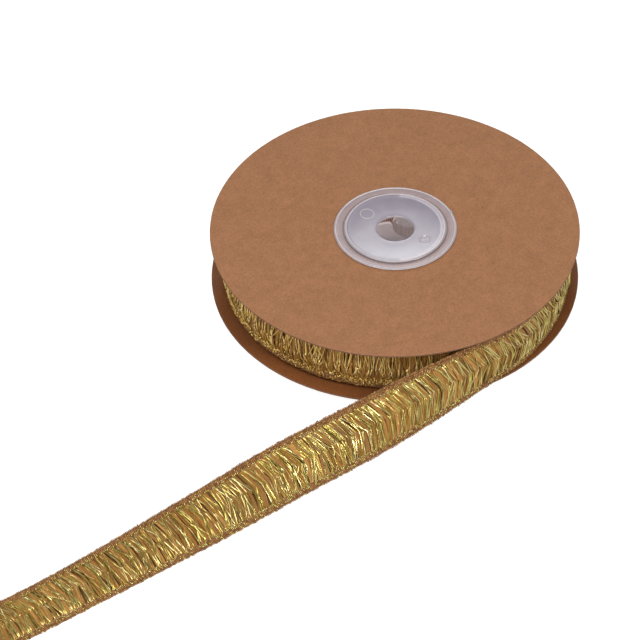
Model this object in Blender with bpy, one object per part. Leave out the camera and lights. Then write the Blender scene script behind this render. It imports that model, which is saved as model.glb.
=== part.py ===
"""A reel of metallic floated-fringe trim: two kraft card discs on a snapped plastic hub, the winding
between them and the loose end of the trim. Metres, +Z up, lying flat, origin under the middle of it all."""

import math
import random

import bmesh
import bpy
from mathutils import Vector

GAP = 0.0003  # left between pieces that touch

# The woven trim
TRIM_WIDTH = 0.0152
TRIM_DEPTH = 0.0010  # from its back to the ground that the floats spring from
CUT_END = 0.0060  # over which the bunches straighten up at a cut end
SELVEDGE_RISE = 0.00015
BUNCH_RISE = 0.00070  # how far a bunch of floats stands off the ground
BUNCH_PITCH = 0.0032  # from one bunch to the next along the trim
CHEVRON = 0.0015  # how far the middle of a bunch leans towards the reel

# The card discs
CARD_RADIUS = 0.0500
CARD_THICKNESS = 0.0006
CARD_SIDES = 96

# The plastic hub: two like halves, each with a flange, a dished plate and a half-round tongue
FLANGE_RADIUS = 0.01657
FLANGE_THICKNESS = 0.0005
LIP_HEIGHT = 0.0005  # of the lip round the dished plate, above the flange
LIP_INNER, LIP_OUTER = 0.0124, 0.0130
RIM_ROUND = 0.0002  # the eased corner of the lip's foot and of the flange's rim
DISH_THICKNESS = 0.0008
SPINDLE_RADIUS = 0.0051  # the hole through both plates
TUBE_OUTER, TUBE_INNER = 0.0135, 0.0124
COLLAR_DEPTH = 0.0020  # of the full ring under each flange
UPPER_TONGUE_DEG, LOWER_TONGUE_DEG = 90.5, 87.4  # half of each tongue's turn
TONGUE_STEP_DEG = 0.4  # over which a tongue's side rises from the collar
LOWER_TONGUE_TOP = 0.0088  # above the surface
TONGUE_HEADING_DEG = -34.8  # the way the upper half's tongue faces

# Levels above the surface that the reel lies on
FLANGE_LEVEL = LIP_HEIGHT + FLANGE_THICKNESS
LOWER_CARD_LEVEL = FLANGE_LEVEL + GAP
WINDING_LEVEL = LOWER_CARD_LEVEL + CARD_THICKNESS + GAP
UPPER_CARD_LEVEL = WINDING_LEVEL + TRIM_WIDTH + GAP
UPPER_FLANGE_LEVEL = UPPER_CARD_LEVEL + CARD_THICKNESS + GAP

# The winding is a spiral: its face steps in by one turn of trim where the outer turn comes loose.
WINDING_RADIUS = 0.04735
CORE_RADIUS = TUBE_OUTER + GAP
TURN_STEP = TRIM_DEPTH + GAP
LOOSE_DEG = 53.2  # how far round the outer turn hangs loose before it leaves
LEAVE_DEG = -90.0  # where round the reel it leaves, running towards -X
PRESSED_DEG = 8.0  # how far the loose turn still presses on the winding
FADE_DEG = 40.0  # over which the winding's bunches then rise again
SEAM_DEG = 0.2  # over which the spiral's face steps in
SEAM_GAP_DEG = 0.55  # between that step and the start of the loose turn

# The loose turn. Columns: degrees back round the reel from where it leaves, radius of its back.
LOOSE_TURN = (
    (0.0, 0.04945),
    (7.0, 0.04890),
    (14.0, 0.04825),
    (21.0, 0.04765),
    (31.0, 0.04715),
    (42.0, 0.04675),
    (LOOSE_DEG, WINDING_RADIUS - TRIM_DEPTH),
)

# The free end. Columns: reach past the reel, distance of the middle of its back from the reel's
# axis, lean in degrees (90 stands on edge, 0 lies flat), height of its lowest corner.
FREE_END = (
    (0.000, 0.04945, 90.0, WINDING_LEVEL),
    (0.008, 0.04955, 81.5, 0.00215),
    (0.015, 0.04950, 74.0, 0.00180),
    (0.022, 0.04940, 67.0, 0.00145),
    (0.029, 0.04930, 60.0, 0.00115),
    (0.036, 0.04915, 52.5, 0.00095),
    (0.045, 0.04905, 45.0, 0.00080),
    (0.055, 0.04910, 42.0, 0.00064),
    (0.065, 0.04930, 41.0, 0.00052),
    (0.075, 0.04945, 37.0, 0.00040),
    (0.085, 0.04930, 26.0, 0.00030),
    (0.099, 0.04922, 15.5, 0.00020),
    (0.113, 0.04932, 8.2, 0.00010),
    (0.127, 0.04950, 2.8, 0.00003),
    (0.141, 0.04970, 0.0, 0.00000),
    (0.159, 0.04985, 0.0, 0.00000),
    (0.177, 0.04995, 0.0, 0.00000),
)
REACH = FREE_END[-1][0]

# Where the reel's axis stands, so that the origin is under the middle of the whole part
REEL_X = (REACH - CARD_RADIUS) / 2
REEL_Y = (FREE_END[-1][1] + TRIM_WIDTH / 2 - CARD_RADIUS) / 2

# Across the trim, from its lower edge to its upper edge. Columns: share of the width, share of
# the chevron's lean, share of the bunch's rise, selvedge or not.
ACROSS = (
    (0.00, 0.0, 0.0, True),
    (0.14, 0.1, 0.0, True),
    (0.32, 0.6, 1.0, False),
    (0.50, 1.0, 0.7, False),
    (0.68, 0.6, 1.0, False),
    (0.86, 0.1, 0.0, True),
    (1.00, 0.0, 0.0, True),
)


def clear_scene():
    for old in list(bpy.data.objects):
        bpy.data.objects.remove(old, do_unlink=True)


def finish_material(name, colour, roughness, metallic=0.0):
    material = bpy.data.materials.new(name)
    material.use_nodes = True
    shader = material.node_tree.nodes["Principled BSDF"]
    shader.inputs["Base Color"].default_value = (*colour, 1.0)
    shader.inputs["Roughness"].default_value = roughness
    shader.inputs["Metallic"].default_value = metallic
    return material


def add_piece(name, rings, closed, material, parent):
    """Joins rings of points into one closed body: round in a circle, or end to end with flat caps."""
    mesh = bmesh.new()
    loops = [[mesh.verts.new(point) for point in ring] for ring in rings]
    pairs = list(zip(loops, loops[1:]))
    if closed:
        pairs.append((loops[-1], loops[0]))
    else:
        mesh.faces.new(loops[0])
        mesh.faces.new(loops[-1])
    for one, other in pairs:
        for i in range(len(one)):
            k = (i + 1) % len(one)
            mesh.faces.new((one[i], one[k], other[k], other[i]))
    bmesh.ops.recalc_face_normals(mesh, faces=mesh.faces)
    data = bpy.data.meshes.new(name)
    mesh.to_mesh(data)
    mesh.free()
    data.shade_smooth()
    data.set_sharp_from_angle(angle=math.radians(35))
    data.materials.append(material)
    piece = bpy.data.objects.new(name, data)
    piece.parent = parent
    bpy.context.scene.collection.objects.link(piece)
    return piece


def around(radius, degrees, height):
    """A point at that radius and turn about the reel's axis."""
    angle = math.radians(degrees)
    return Vector((radius * math.cos(angle), radius * math.sin(angle), height))


def smooth_at(table, key, column):
    """Reads one column of a table at a key between its rows, on a smooth curve through them."""
    last = len(table) - 2
    i = 0
    while i < last and key > table[i + 1][0]:
        i += 1
    x0, x1 = table[i][0], table[i + 1][0]
    y0, y1 = table[i][column], table[i + 1][column]
    slope = (y1 - y0) / (x1 - x0)
    before, after = slope, slope
    if i > 0:
        before = (y1 - table[i - 1][column]) / (x1 - table[i - 1][0])
    if i < last:
        after = (table[i + 2][column] - y0) / (table[i + 2][0] - x0)
    span = x1 - x0
    t = min(max((key - x0) / span, 0.0), 1.0)
    h = t * t * (3 - 2 * t)
    bend = t * (1 - t)
    return y0 + (y1 - y0) * h + span * bend * (before * (1 - t) - after * t)


def build_card(name, level, material, parent):
    """A die-cut disc of kraft card with a hole for the hub."""
    top = level + CARD_THICKNESS
    rings = []
    for i in range(CARD_SIDES):
        turn = 360 * i / CARD_SIDES
        rings.append(
            [
                around(CARD_RADIUS, turn, level),
                around(CARD_RADIUS, turn, top),
                around(CORE_RADIUS, turn, top),
                around(CORE_RADIUS, turn, level),
            ]
        )
    return add_piece(name, rings, True, material, parent)


def hub_profile(skirt):
    """Half of the hub in section, as (radius, height over the flange's inner face)."""
    lip = FLANGE_THICKNESS + LIP_HEIGHT
    steps = 3
    dish = []
    for i in range(steps + 1):
        share = i / steps
        radius = SPINDLE_RADIUS + (LIP_INNER - SPINDLE_RADIUS) * share
        dish.append((radius, FLANGE_THICKNESS + LIP_HEIGHT * share**2))
    rim = [
        (LIP_OUTER, lip),
        (TUBE_OUTER, lip - RIM_ROUND),
        (TUBE_OUTER + RIM_ROUND, FLANGE_THICKNESS),
        (FLANGE_RADIUS - RIM_ROUND, FLANGE_THICKNESS),
        (FLANGE_RADIUS, FLANGE_THICKNESS - RIM_ROUND),
        (FLANGE_RADIUS, 0.0),
        (TUBE_OUTER, 0.0),
    ]
    wall = [(TUBE_OUTER, -skirt), (TUBE_INNER, -skirt)]
    under = [(radius, height - DISH_THICKNESS) for radius, height in reversed(dish)]
    under[0] = (TUBE_INNER, under[0][1] - GAP)
    return dish + rim + wall + under


def build_hub(name, level, up, tongue, half_turn, heading, material, parent):
    """One moulded half: up is 1 for the upper half and -1 for the lower, tongue is its reach."""
    angles = []
    steps = 24
    for i in range(steps + 1):
        angles.append((heading - half_turn + 2 * half_turn * i / steps, tongue))
    rest = 360 - 2 * (half_turn + TONGUE_STEP_DEG)
    for i in range(steps + 1):
        start = heading + half_turn + TONGUE_STEP_DEG
        angles.append((start + rest * i / steps, COLLAR_DEPTH))
    rings = []
    for turn, skirt in angles:
        section = hub_profile(skirt)
        rings.append([around(radius, turn, level + up * height) for radius, height in section])
    return add_piece(name, rings, True, material, parent)


def front_height(share_of_rise, selvedge, bunch, strength):
    """How far a point of the trim's front stands off the ground."""
    if selvedge:
        return SELVEDGE_RISE * strength
    return BUNCH_RISE * share_of_rise * bunch * strength


def bunches(count, seed):
    """Uneven bunches of floats: for each column along the trim, its shift and its share of the rise."""
    chance = random.Random(seed)
    columns = []
    for i in range(2 * count):
        shift = chance.uniform(-0.12, 0.12) * BUNCH_PITCH
        height = chance.uniform(0.65, 1.0) if i % 2 else 0.0
        columns.append((shift, height))
    return columns


def build_winding(material, parent):
    """The wound trim as one spiral ring, with the outer turn's bunches and selvedges raised."""
    start = LEAVE_DEG + LOOSE_DEG
    count = round(2 * math.pi * WINDING_RADIUS / BUNCH_PITCH)
    columns = bunches(count, 11)
    rings = []
    for i, (shift, bunch) in enumerate(columns):
        share = i / (len(columns) - 1)
        back = (1 - share) * 360
        ease = min(1.0, back / PRESSED_DEG, (360 - back) / PRESSED_DEG)
        turn = (360 - SEAM_DEG) * share + math.degrees(shift / WINDING_RADIUS) * ease
        radius = WINDING_RADIUS - TURN_STEP * share
        strength = min(1.0, max(0.0, back - PRESSED_DEG) / FADE_DEG)
        ring = []
        for across, lean, rise, selvedge in ACROSS:
            lift = front_height(rise, selvedge, bunch, strength)
            leaned = turn + math.degrees(CHEVRON * lean * ease / WINDING_RADIUS)
            ring.append(around(radius + lift, start + leaned, WINDING_LEVEL + across * TRIM_WIDTH))
        ring.append(around(CORE_RADIUS, start + turn, WINDING_LEVEL + TRIM_WIDTH))
        ring.append(around(CORE_RADIUS, start + turn, WINDING_LEVEL))
        rings.append(ring)
    return add_piece("trim_winding", rings, True, material, parent)


def middle_of_end(reach):
    """The middle of the back of the loose turn (reach below 0) and the free end, seen from above."""
    if reach >= 0:
        return Vector((-reach, -smooth_at(FREE_END, reach, 1), 0.0))
    turn = math.degrees(-reach / LOOSE_TURN[0][1])
    return around(smooth_at(LOOSE_TURN, turn, 1), LEAVE_DEG + turn, 0.0)


def frame_of_end(reach):
    """The middle of the back, the ways along and across, and the way the front faces."""
    window = 0.002
    along = (middle_of_end(reach + window) - middle_of_end(reach - window)).normalized()
    inward = Vector((along.y, -along.x, 0.0))
    past = max(reach, 0.0)
    lean = math.radians(max(smooth_at(FREE_END, past, 2), 0.0))
    if reach < 0:
        lean = math.radians(90)
    lowest = max(smooth_at(FREE_END, past, 3), 0.0)
    across = inward * math.cos(lean) + Vector((0, 0, math.sin(lean)))
    front = -inward * math.sin(lean) + Vector((0, 0, math.cos(lean)))
    middle = middle_of_end(reach)
    middle.z = lowest + TRIM_WIDTH / 2 * math.sin(lean)
    return middle, along, across, front


def build_free_end(material, parent):
    """The loose turn and the free end as one sheet, with its bunches and selvedges raised."""
    first = -math.radians(LOOSE_DEG - SEAM_DEG - SEAM_GAP_DEG) * LOOSE_TURN[0][1]
    count = round((REACH - first) / BUNCH_PITCH)
    columns = bunches(count, 23)
    rings = []
    for i, (shift, bunch) in enumerate(columns):
        share = i / (len(columns) - 1)
        reach = first + (REACH - first) * share
        ease = min(1.0, (reach - first) / CUT_END, (REACH - reach) / CUT_END)
        middle, along, across, front = frame_of_end(reach)
        ring = []
        for part, lean, rise, selvedge in ACROSS:
            depth = TRIM_DEPTH + front_height(rise, selvedge, bunch, 1.0)
            slide = (shift - CHEVRON * lean) * ease
            side = (part - 0.5) * TRIM_WIDTH
            ring.append(middle + across * side + front * depth + along * slide)
        ring.append(middle + across * TRIM_WIDTH / 2)
        ring.append(middle - across * TRIM_WIDTH / 2)
        rings.append(ring)
    return add_piece("trim_end", rings, False, material, parent)


def main():
    clear_scene()
    kraft = finish_material("kraft_card_die_cut", (0.402, 0.188, 0.091), 0.85)
    plastic = finish_material("polypropylene_moulded", (0.60, 0.59, 0.63), 0.35)
    trim = finish_material("lurex_and_rayon_woven", (0.392, 0.254, 0.048), 0.40, 0.4)
    reel = bpy.data.objects.new("reel_axis", None)
    reel.location = (REEL_X, REEL_Y, 0.0)
    bpy.context.scene.collection.objects.link(reel)
    build_card("card_lower", LOWER_CARD_LEVEL, kraft, reel)
    build_card("card_upper", UPPER_CARD_LEVEL, kraft, reel)
    lower_tongue = LOWER_TONGUE_TOP - FLANGE_LEVEL
    upper_tongue = UPPER_FLANGE_LEVEL - (FLANGE_LEVEL + COLLAR_DEPTH + GAP)
    away = TONGUE_HEADING_DEG + 180
    build_hub("hub_lower", FLANGE_LEVEL, -1, lower_tongue, LOWER_TONGUE_DEG, away, plastic, reel)
    build_hub(
        "hub_upper",
        UPPER_FLANGE_LEVEL,
        1,
        upper_tongue,
        UPPER_TONGUE_DEG,
        TONGUE_HEADING_DEG,
        plastic,
        reel,
    )
    build_winding(trim, reel)
    build_free_end(trim, reel)


main()
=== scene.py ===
"""Looks for a card reel of metallic floated-fringe trim: the fine surface of every piece, its
finish, a pale floor, soft studio light and the photograph's camera. Metres, in the frame."""

import math

import bmesh
import bpy
import numpy as np
from mathutils import Matrix, Vector


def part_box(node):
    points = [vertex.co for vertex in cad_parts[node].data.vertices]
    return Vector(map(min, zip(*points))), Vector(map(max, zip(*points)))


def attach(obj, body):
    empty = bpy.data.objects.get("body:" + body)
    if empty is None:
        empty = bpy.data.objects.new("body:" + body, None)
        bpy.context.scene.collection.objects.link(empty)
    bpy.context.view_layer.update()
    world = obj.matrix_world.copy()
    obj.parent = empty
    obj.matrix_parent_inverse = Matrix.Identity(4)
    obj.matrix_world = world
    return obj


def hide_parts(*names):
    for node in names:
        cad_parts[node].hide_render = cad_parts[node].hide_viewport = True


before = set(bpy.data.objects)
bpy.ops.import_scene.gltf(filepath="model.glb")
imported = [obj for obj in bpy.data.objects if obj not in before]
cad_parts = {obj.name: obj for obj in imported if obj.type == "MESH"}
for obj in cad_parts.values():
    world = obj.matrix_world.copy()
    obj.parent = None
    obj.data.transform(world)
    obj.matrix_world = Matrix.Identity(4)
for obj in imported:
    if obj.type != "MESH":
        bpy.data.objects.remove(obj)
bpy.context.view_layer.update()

MM = 0.001

# Read from the frame: the reel's axis, the discs, the winding and the hub
CARD_LOW, CARD_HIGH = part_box("card_upper")
REEL = np.array(((CARD_LOW.x + CARD_HIGH.x) / 2, (CARD_LOW.y + CARD_HIGH.y) / 2, 0.0))
CARD_RADIUS = (CARD_HIGH.x - CARD_LOW.x) / 2
CARD_THICKNESS = CARD_HIGH.z - CARD_LOW.z
UPPER_CARD_LEVEL = CARD_LOW.z
LOWER_CARD_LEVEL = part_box("card_lower")[0].z
WINDING_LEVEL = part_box("trim_winding")[0].z
TRIM_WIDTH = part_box("trim_winding")[1].z - WINDING_LEVEL
HUB_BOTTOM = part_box("hub_lower")[0].z
HUB_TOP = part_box("hub_upper")[1].z
UPPER_TONGUE_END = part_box("hub_upper")[0].z
LOWER_TONGUE_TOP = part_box("hub_lower")[1].z

# The trim's course, as in the model
TRIM_DEPTH = 1.0 * MM  # from the back to the ground of the solid
WINDING_RADIUS = 47.35 * MM
TURN_STEP = 1.3 * MM  # how far the winding's face steps in where the outer turn comes loose
LOOSE_DEG = 53.2  # how far round the outer turn hangs loose before it leaves
SEAM_DEG = 0.05  # between that step and the start of the loose turn
LEAVE_DEG = -90.0  # where round the reel it leaves, running towards -X
# Columns: degrees back round the reel from where it leaves, radius of its back.
LOOSE_TURN = (
    (0.0, 0.04945),
    (7.0, 0.04890),
    (14.0, 0.04825),
    (21.0, 0.04765),
    (31.0, 0.04715),
    (42.0, 0.04675),
    (LOOSE_DEG, WINDING_RADIUS - TRIM_DEPTH),
)
# Columns: reach past the reel, distance of the middle of its back from the reel's axis, lean in
# degrees (90 stands on edge, 0 lies flat), height of its lowest corner.
FREE_END = (
    (0.000, 0.04945, 90.0, WINDING_LEVEL),
    (0.008, 0.04955, 81.5, 0.00215),
    (0.015, 0.04950, 74.0, 0.00180),
    (0.022, 0.04940, 67.0, 0.00145),
    (0.029, 0.04930, 60.0, 0.00115),
    (0.036, 0.04915, 52.5, 0.00095),
    (0.045, 0.04905, 45.0, 0.00080),
    (0.055, 0.04910, 42.0, 0.00064),
    (0.065, 0.04930, 41.0, 0.00052),
    (0.075, 0.04945, 37.0, 0.00040),
    (0.085, 0.04930, 26.0, 0.00030),
    (0.099, 0.04922, 15.5, 0.00020),
    (0.113, 0.04932, 8.2, 0.00010),
    (0.127, 0.04950, 2.8, 0.00003),
    (0.141, 0.04970, 0.0, 0.00000),
    (0.159, 0.04985, 0.0, 0.00000),
    (0.177, 0.04995, 0.0, 0.00000),
)
REACH = FREE_END[-1][0]
STATION = 0.25 * MM  # between the places along the trim where its course is worked out

# The real trim in its layers, from its back: floats, ground, floats, with the selvedges over all
GROUND_BACK, GROUND_FRONT = 0.24 * MM, 0.40 * MM
SELVEDGE_TOP = 0.74 * MM
WOUND_RISE = 0.30 * MM  # how much fuller the trim is where it is wound than where it lies free
FULL_FROM, FULL_OVER = 30 * MM, 15 * MM  # how far round the loose turn it begins to be as full
FLOAT_ENDS = 1.72 * MM  # in from the edge, where a float goes under the selvedge
WOUND_FOOT = 0.95 * MM  # how far the lower selvedge is drawn up from the card it stands on
# Share of the width over which a float comes up to its full height from the lower selvedge
END_SETTLE, WOUND_SETTLE = 0.05, 0.40


def smooth_step(value):
    """0 to 1 with eased ends."""
    t = np.clip(value, 0.0, 1.0)
    return t * t * (3 - 2 * t)


def unit(vectors):
    return vectors / np.linalg.norm(vectors, axis=-1, keepdims=True)


def beside(*values):
    return np.stack(np.broadcast_arrays(*values), axis=-1)


def into_scene(name, data):
    made = bpy.data.objects.new(name, data)
    bpy.context.scene.collection.objects.link(made)
    return made


# The trim's course


def smooth_at(table, key, column):
    """Reads one column of a table at a key between its rows, on a smooth curve through them."""
    i = 0
    while i < len(table) - 2 and key > table[i + 1][0]:
        i += 1
    rows = [table[k] for k in (max(i - 1, 0), i, i + 1, min(i + 2, len(table) - 1))]
    (xa, ya), (x0, y0), (x1, y1), (xb, yb) = ((row[0], row[column]) for row in rows)
    before, after = (y1 - ya) / (x1 - xa), (yb - y0) / (xb - x0)
    span = x1 - x0
    t = min(max((key - x0) / span, 0.0), 1.0)
    h = t * t * (3 - 2 * t)
    bend = t * (1 - t)
    return y0 + (y1 - y0) * h + span * bend * (before * (1 - t) - after * t)


def around(radius, degrees, height=0.0):
    """A point at that radius and turn about the reel's axis."""
    angle = math.radians(degrees)
    return REEL + np.array((radius * math.cos(angle), radius * math.sin(angle), height))


def middle_of_end(reach):
    """The middle of the back of the loose turn (reach below 0) and the free end, from above."""
    if reach >= 0:
        return REEL + np.array((-reach, -smooth_at(FREE_END, reach, 1), 0.0))
    turn = math.degrees(-reach / LOOSE_TURN[0][1])
    return around(smooth_at(LOOSE_TURN, turn, 1), LEAVE_DEG + turn)


def frame_of_end(reach):
    """The middle of the back, the way across and the way the front faces."""
    window = 2 * MM
    along = unit(middle_of_end(reach + window) - middle_of_end(reach - window))
    inward = np.array((along[1], -along[0], 0.0))
    past = max(reach, 0.0)  # the loose turn stands on edge, as the start of the free end does
    lean = math.radians(max(smooth_at(FREE_END, past, 2), 0.0))
    lowest = max(smooth_at(FREE_END, past, 3), 0.0)
    across = inward * math.cos(lean) + np.array((0, 0, math.sin(lean)))
    front = -inward * math.sin(lean) + np.array((0, 0, math.cos(lean)))
    middle = middle_of_end(reach)
    middle[2] = lowest + TRIM_WIDTH / 2 * math.sin(lean)
    fuller = WOUND_RISE * float(smooth_step((-reach - FULL_FROM) / FULL_OVER))
    return middle + front * fuller, across, front


def course_of(at, middle, across, front, settle):
    """Stations along the trim, with the middle of its back, the way across and the way it faces."""
    middle, across, front = np.array(middle), np.array(across), np.array(front)
    return dict(at=at, middle=middle, across=across, front=front, settle=settle)


def end_course():
    """The loose turn and the free end: stations from the seam to the cut end."""
    first = -math.radians(LOOSE_DEG - SEAM_DEG) * LOOSE_TURN[0][1]
    at = np.linspace(first, REACH, round((REACH - first) / STATION) + 1)
    middle, across, front = zip(*(frame_of_end(reach) for reach in at))
    return course_of(at, middle, across, front, END_SETTLE)


def wound_course():
    """The winding's outer turn, running the same way as the end: stations from seam to seam."""
    length = 2 * math.pi * WINDING_RADIUS
    share = np.linspace(1.0, 0.0, round(length / STATION) + 1)
    turn = np.radians(LEAVE_DEG + LOOSE_DEG + 360 * share)
    radius = WINDING_RADIUS - TURN_STEP * share - TRIM_DEPTH + WOUND_RISE
    front = beside(np.cos(turn), np.sin(turn), 0.0)
    middle = REEL + front * radius[:, None]
    middle[:, 2] = WINDING_LEVEL + TRIM_WIDTH / 2
    across = np.tile((0.0, 0.0, 1.0), (len(share), 1))
    return course_of(-share * length, middle, across, front, WOUND_SETTLE)


def read(course, key, at):
    """One of the course's vectors at any distances along it."""
    return np.stack([np.interp(at, course["at"], course[key][:, k]) for k in range(3)], axis=-1)


def place(course, at, over, height):
    """Points at a distance along the trim, over from its lower edge, and up from its back."""
    at, over, height = np.broadcast_arrays(at, over, height)
    middle = read(course, "middle", at)
    across = read(course, "across", at)
    front = read(course, "front", at)
    return middle + across * (over - TRIM_WIDTH / 2)[..., None] + front * height[..., None]


# Mesh building. A part is (points, faces, measure in mm for each point, material index).


def part_from_rings(rings, measure, closed=False, index=0):
    """Bodies swept through rings of corners: an array of bodies, rings, corners and xyz."""
    bodies, steps, corners = rings.shape[:3]
    label = np.arange(bodies * steps * corners).reshape(bodies, steps, corners)
    one = label if closed else label[:, :-1]
    other = np.roll(label, -1, axis=1) if closed else label[:, 1:]
    sides = np.stack((one, np.roll(one, -1, axis=2), np.roll(other, -1, axis=2), other), axis=-1)
    faces = sides.reshape(-1, 4).tolist()
    if not closed:
        faces += label[:, 0, ::-1].tolist()
        faces += label[:, -1].tolist()
    return rings.reshape(-1, 3), faces, measure.reshape(-1, 2), index


def add_piece(name, parts, materials, slot, tidy_normals=False, sharp=40):
    """Joins parts into one object that rides on the reel, with a map in millimetres, weave_mm."""
    points, faces, indices = [], [], []
    for part_points, part_faces, _, index in parts:
        faces += [[corner + len(points) for corner in face] for face in part_faces]
        points += part_points.tolist()
        indices += [index] * len(part_faces)
    measures = np.concatenate([measure for _, _, measure, _ in parts])
    data = bpy.data.meshes.new(name)
    data.from_pydata(points, [], faces)
    data.polygons.foreach_set("material_index", indices)
    if tidy_normals:
        mesh = bmesh.new()
        mesh.from_mesh(data)
        bmesh.ops.recalc_face_normals(mesh, faces=mesh.faces)
        mesh.to_mesh(data)
        mesh.free()
    corner_of = np.zeros(len(data.loops), np.int32)
    data.loops.foreach_get("vertex_index", corner_of)
    layer = data.uv_layers.new(name="weave_mm")
    layer.uv.foreach_set("vector", measures[corner_of].astype(np.float32).ravel())
    data.shade_smooth()
    data.set_sharp_from_angle(angle=math.radians(sharp))
    for material in materials:
        data.materials.append(material)
    piece = into_scene(name, data)
    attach(piece, "root")
    return piece


def sweep(centre, front, section, turn, size):
    """Rings of a section carried along each path of centres, turned about it and sized."""
    forward = unit(np.gradient(centre, axis=1))
    side = unit(np.cross(front, forward))
    up = np.cross(forward, side)
    cos, sin = np.cos(turn)[..., None], np.sin(turn)[..., None]
    side, up = side * cos + up * sin, up * cos - side * sin
    x = section[:, 0][None, None, :, None] * size[..., 0][:, :, None, None]
    y = section[:, 1][None, None, :, None] * size[..., 1][:, :, None, None]
    return centre[:, :, None] + side[:, :, None] * x + up[:, :, None] * y


def measure_of(centre, section, size):
    """For each corner, its distance along its path and across it, in millimetres."""
    steps = np.linalg.norm(np.diff(centre, axis=1), axis=-1)
    run = np.concatenate((np.zeros((len(centre), 1)), np.cumsum(steps, axis=1)), axis=1)
    wide = (section[:, 0][None, None] + 0.5) * size[..., 0][:, :, None]
    return beside(run[:, :, None], wide) / MM


def drift(chance, course, spacing):
    """A random curve between -1 and 1 along the trim, with a knot every spacing."""
    knots = np.arange(course["at"][0] - spacing, course["at"][-1] + 2 * spacing, spacing)
    values = chance.uniform(-1, 1, len(knots))
    return lambda at: np.interp(at, knots, values)


# The trim's surface

# Sections across a strand, for a width and a depth of 1
STRIP = np.array(((-0.5, -0.4), (0.5, -0.4), (0.0, 0.6)))
RIBBON = np.array(((-0.5, -0.4), (0.0, 0.1), (0.5, -0.4), (0.5, 0.1), (0.0, 0.6), (-0.5, 0.1)))
YARN = np.array([(math.cos(a) / 2, math.sin(a) / 2) for a in np.linspace(0, 2 * math.pi, 7)[:-1]])

BUNCH = 3.1 * MM  # from one bunch of floats to the next
END_MARGIN = 0.3 * MM  # kept clear by the floats at the cut end and the seam
KINK_SPREAD, KINK_WIDTH = 0.018, 0.07  # of a float's kink at the middle, as shares of the width
DIVE = 0.06  # share of the width over which a float dives under the others
WAVE, WANDER = 0.14 * MM, 0.1 * MM  # how far a float strays along the trim, and up and down
RIBBON_WIDEST, RIBBON_DEPTH, RIBBON_RINGS = 0.98 * MM, 0.07 * MM, 15
STRIP_NARROWEST, STRIP_WIDEST = 0.12, 0.22  # in mm
STRIP_DEPTH = 0.014 * MM
STRIP_DIP = 0.3  # how far a strip sinks at its kink, as a share of its rise
STRIP_ROLL = 0.75  # spread in radians of how a strip lies, which makes some flash and some dark
STRAY_SHARE = 0.16  # of the strips, the share that lies across its neighbours
# The strips by what they cross. Columns: 0 for the whole width, 1 for the upper half or -1 for the
# lower, how many there are for each pitch, rings along each.
STRIP_KINDS = ((0, 0.30, 18), (1, 0.72, 10), (-1, 0.72, 10))
BACK_DEPTH, BACK_RINGS = 0.04 * MM, 8


def wavering(chance, t, slow, fast):
    """A sine along each float, at its own pace between slow and fast and from its own start."""
    pace = chance.uniform(slow, fast, (len(t), 1))
    return np.sin(2 * math.pi * (t * pace + chance.uniform(0, 1, (len(t), 1))))


def float_part(
    course, chance, at, leans, build, section, width, depth, twist, rings, half=0, roll=0.12
):
    """Floats from selvedge to selvedge, each with its kink at the middle, or from one selvedge
    (half is 1 for the upper, -1 for the lower) to where it dives under the others near the middle.
    leans is the shift along the trim at the upper and lower end, build the height, rise and dip."""
    count = len(at)
    first = chance.uniform(0.42, 0.50, (count, 1)) if half > 0 else np.zeros((count, 1))
    last = chance.uniform(0.50, 0.58, (count, 1)) if half < 0 else np.ones((count, 1))
    t = first + (last - first) * np.linspace(0.0, 1.0, rings)[None]
    over = FLOAT_ENDS + (TRIM_WIDTH - 2 * FLOAT_ENDS) * t
    kink = 0.5 + chance.normal(0, KINK_SPREAD, (count, 1))
    upper = np.clip((t - kink) / (1 - kink), 0, 1)
    lower = np.clip((kink - t) / kink, 0, 1)
    wave = chance.uniform(0.0, WAVE, (count, 1)) * wavering(chance, t, 0.8, 2.2)
    shift = leans[0][:, None] * upper + leans[1][:, None] * lower + wave * np.sin(math.pi * t)
    level, rise, dip = build
    arch = 1 - np.abs(2 * t - 1) ** 1.4 - dip * np.exp(-(((t - kink) / KINK_WIDTH) ** 2))
    wander = chance.uniform(-WANDER, WANDER, (count, 1)) * wavering(chance, t, 1.0, 2.5)
    ends = np.clip(np.minimum(t - first, last - t) / DIVE, 0, 1)
    height = (level[:, None] + wander) * ends + rise[:, None] * arch * (ends if half else 1)
    height = GROUND_FRONT + smooth_step(t / course["settle"]) * height
    start, end = course["at"][0] + END_MARGIN, course["at"][-1] - END_MARGIN
    along = np.clip(at[:, None] + shift, start, end)
    centre = place(course, along, over, height)
    front = read(course, "front", along)
    turn = twist[:, None] * wavering(chance, t, 0.8, 3.0) + chance.normal(0, roll, (count, 1))
    size = beside(width[:, None] + 0 * t, depth)
    rings_of = sweep(centre, front, section, turn, size)
    return part_from_rings(rings_of, measure_of(centre, section, size))


def bunched(chance, course, pitch, pull, phase):
    """Places along the trim at an even pitch, drawn together into uneven bunches."""
    margin = 0.5 * MM
    even = np.arange(course["at"][0] + margin, course["at"][-1] - margin, pitch)
    even = even + chance.uniform(-0.35, 0.35, len(even)) * pitch
    swing = drift(chance, course, 2.3 * BUNCH)
    return even + pull * np.sin(2 * math.pi * even / BUNCH + 2.0 * swing(even) + phase)


def end_leans(chance, course, at, spread):
    """How far a float's ends lie past its middle: the chevron points at the reel, most near it."""
    near = 1 - smooth_step((at - 45 * MM) / (60 * MM))
    upper = (0.8 + 2.0 * near) * MM + 0.75 * MM * drift(chance, course, 2.6 * MM)(at)
    lower = (0.3 + 1.1 * near) * MM + 1.15 * MM * drift(chance, course, 1.9 * MM)(at)
    # For some 18 mm either side of 68 mm past the reel the lower halves lean back the other way.
    lower -= 0.7 * MM * np.exp(-(((at - 68 * MM) / (18 * MM)) ** 2))
    return upper + chance.normal(0, spread, len(at)), lower + chance.normal(0, spread, len(at))


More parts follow.
